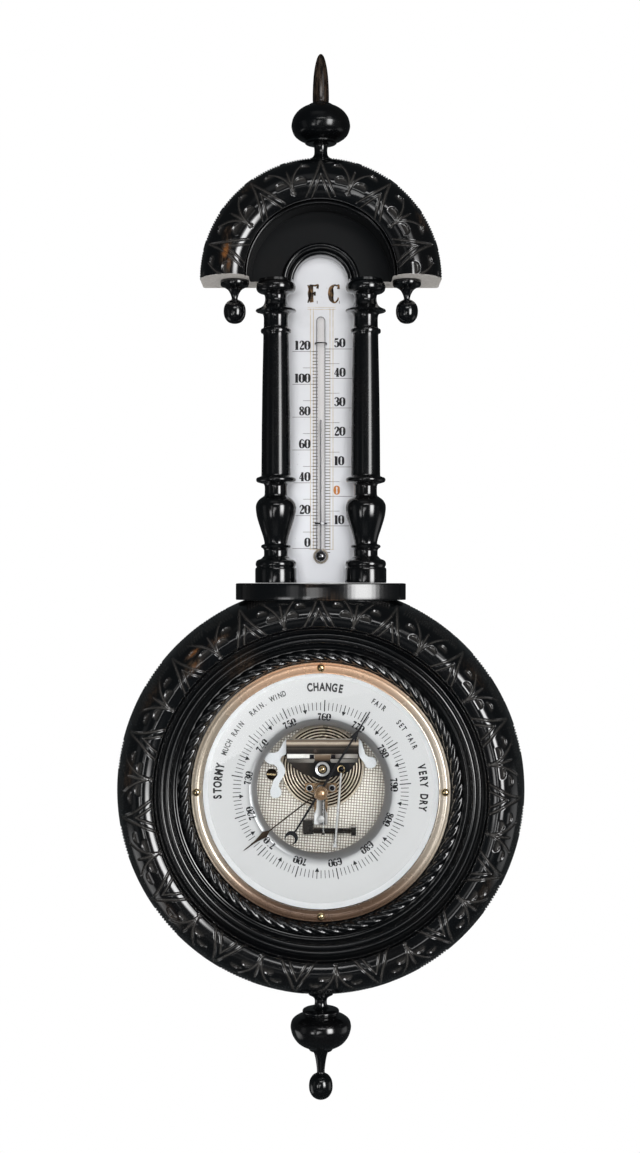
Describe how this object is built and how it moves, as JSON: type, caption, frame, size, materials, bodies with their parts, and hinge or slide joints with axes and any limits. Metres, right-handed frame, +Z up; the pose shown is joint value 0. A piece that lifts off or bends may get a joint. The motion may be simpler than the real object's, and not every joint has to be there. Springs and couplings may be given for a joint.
{
  "type": "aneroid barometer",
  "caption": "Aneroid wall barometer: round carved case with an open dial and its lever movement, columns, carved half-round hood and a thermometer.",
  "frame": {"origin": "on the dial axis at the flat back, where the case meets the wall", "axes": "+X to the right of a viewer who faces the dial, +Z up, +Y into the wall, so the dial faces -Y"},
  "size_m": [0.2506, 0.06, 0.6452],
  "materials": {
    "ebonised_wood": "french polished black",
    "plain_wood": "stained, matt",
    "milk_glass": "opaque white",
    "clear_glass": "polished",
    "mercury": "liquid metal",
    "silvered_brass": "matt silvered",
    "aged_brass": "aged lacquer",
    "gold_brass": "lacquered",
    "nickel": "polished nickel",
    "steel": "polished",
    "blued_steel": "blued"
  },
  "bodies": {
    "frame": {"case_ring": "ebonised_wood", "rope_moulding": "ebonised_wood", "shelf": "ebonised_wood", "left_column": "ebonised_wood", "right_column": "ebonised_wood", "hood": "ebonised_wood", "hood_arch_moulding": "ebonised_wood", "top_finial": "ebonised_wood", "bottom_finial": "ebonised_wood", "left_drop": "ebonised_wood", "right_drop": "ebonised_wood", "case_back": "plain_wood", "upper_backboard": "plain_wood", "thermometer_plate": "milk_glass", "thermometer_tube": "clear_glass", "glass": "clear_glass", "mercury": "mercury", "dial": "silvered_brass", "bezel": "aged_brass", "bezel_screw_top": "aged_brass", "bezel_screw_right": "aged_brass", "bezel_screw_bottom": "aged_brass", "bezel_screw_left": "aged_brass", "movement_case": "aged_brass", "hanger_plate": "aged_brass", "capsule": "gold_brass", "arbor_plate": "gold_brass", "pillar_left": "gold_brass", "pillar_right": "gold_brass", "base_plate": "nickel", "bridge_frame": "nickel", "main_spring": "nickel", "movement_post": "nickel", "shaft_post_right": "steel", "arbor_cock": "steel", "cock_screw": "steel", "plate_screw": "steel", "lower_tube_clip": "steel", "upper_tube_clip": "steel", "back_screw_left": "steel", "back_screw_right": "steel", "hanger_screw_left": "steel", "hanger_screw_right": "steel", "shaft_post_left": "blued_steel", "hairspring": "blued_steel"},
    "pointer_body": {"pointer": "blued_steel", "pointer_arbor": "steel"},
    "set_hand_body": {"set_hand": "aged_brass", "set_knob": "aged_brass"},
    "shaft_body": {"rocking_shaft": "blued_steel"},
    "lever_body": {"spring_tongue": "nickel", "clamp_screw_left": "blued_steel", "clamp_screw_right": "blued_steel", "main_lever": "steel"},
    "link_body": {"drop_link": "steel"},
    "stud_body": {"capsule_stud": "steel"},
    "chain_body": {"chain": "steel"},
    "adjuster_body": {"adjusting_screw": "steel"}
  },
  "joints": [
    {"name": "pointer_turn", "type": "hinge", "parent": "frame", "child": "pointer_body", "pos_m": [0, -0.0343, 0], "axis": [0, 1, 0], "range_deg": [-250, 80], "stiffness_Nm_per_rad": 0.001},
    {"name": "set_hand_turn", "type": "hinge", "parent": "frame", "child": "set_hand_body", "pos_m": [0, -0.0363, 0], "axis": [0, 1, 0], "continuous": true},
    {"name": "rocking_shaft_tilt", "type": "hinge", "parent": "frame", "child": "shaft_body", "pos_m": [0.007, -0.0154, -0.0275], "axis": [1, 0, 0], "range_deg": [-21, 6.8]},
    {"name": "lever_tilt", "type": "hinge", "parent": "frame", "child": "lever_body", "pos_m": [0.001, -0.024, 0.0278], "axis": [1, 0, 0], "range_deg": [-2.5, 0.8]},
    {"name": "drop_link_travel", "type": "slide", "parent": "frame", "child": "link_body", "axis": [0, 1, 0], "range_m": [-0.00274, 0.00088]},
    {"name": "capsule_stud_travel", "type": "slide", "parent": "frame", "child": "stud_body", "axis": [0, 1, 0], "range_m": [-0.00068, 0.00022]},
    {"name": "chain_travel", "type": "slide", "parent": "frame", "child": "chain_body", "axis": [0, 0, -1], "range_m": [-0.00438, 0.00141]},
    {"name": "adjusting_screw_turn", "type": "hinge", "parent": "frame", "child": "adjuster_body", "pos_m": [0.001, -0.0058, 0.0124], "axis": [0, 1, 0], "range_deg": [-180, 180]}
  ],
  "couplings": [
    {"joint": "rocking_shaft_tilt", "follows": "pointer_turn", "ratio": 0.083333},
    {"joint": "lever_tilt", "follows": "pointer_turn", "ratio": 0.009952},
    {"joint": "drop_link_travel", "follows": "pointer_turn", "m_per_rad": 0.000625},
    {"joint": "capsule_stud_travel", "follows": "pointer_turn", "m_per_rad": 0.000153},
    {"joint": "chain_travel", "follows": "pointer_turn", "m_per_rad": 0.001}
  ]
}
